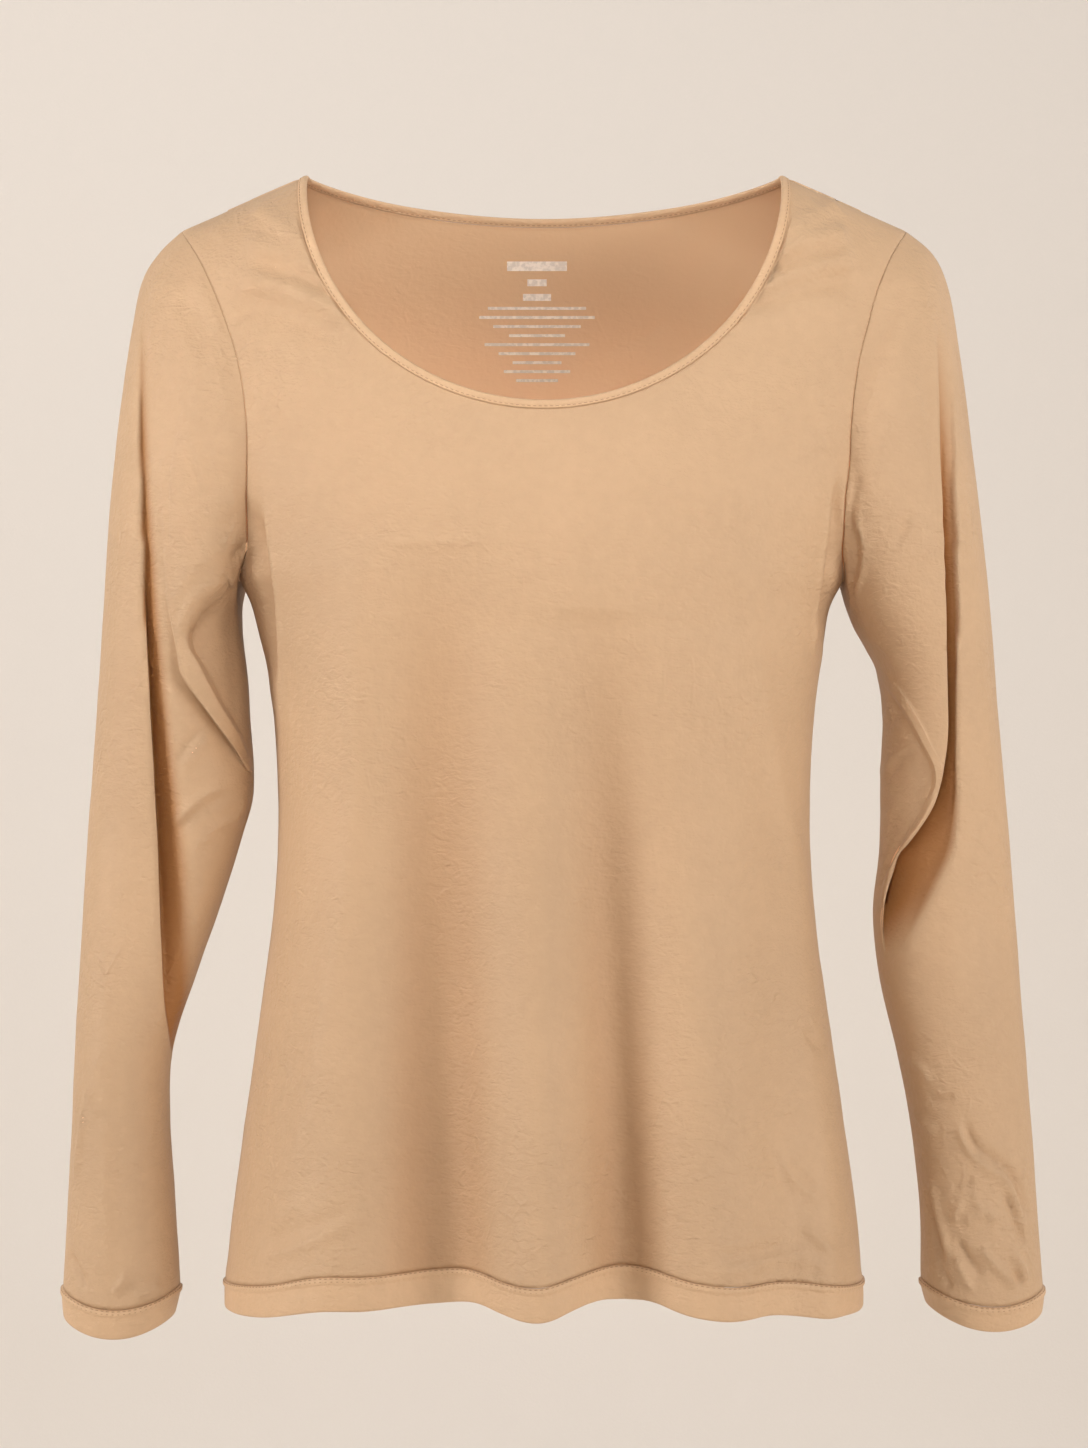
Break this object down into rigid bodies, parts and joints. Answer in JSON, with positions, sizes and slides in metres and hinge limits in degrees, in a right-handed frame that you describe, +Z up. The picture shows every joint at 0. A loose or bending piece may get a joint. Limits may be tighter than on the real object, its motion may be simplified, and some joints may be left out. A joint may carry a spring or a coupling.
{
  "type": "long-sleeved thermal base layer top",
  "caption": "Long-sleeved base layer top with a deep round neckline, set-in sleeves and stitched hem and cuffs, hollow and in its worn shape.",
  "frame": {"origin": "midway between the two points where the shoulder seams meet the neckline, in the plane of the side seams: where the wearer's shoulders hold the top up", "axes": "+Z up along the body's length, +X to the right as seen from the front, -Y out of the front"},
  "size_m": [0.5409, 0.2028, 0.6343],
  "materials": {
    "body_cloth": "brushed fine-gauge knit, soft satin sheen, finely crinkled",
    "binding_cloth": "narrow folded strip of the same knit with a row of stitches",
    "band_cloth": "doubled knit with a raised two-needle cover stitch"
  },
  "bodies": {
    "root": {"front": "body_cloth", "back": "body_cloth", "sleeve_left": "body_cloth", "sleeve_right": "body_cloth", "neck_binding": "binding_cloth", "hem_band": "band_cloth", "cuff_left": "band_cloth", "cuff_right": "band_cloth"}
  },
  "joints": []
}
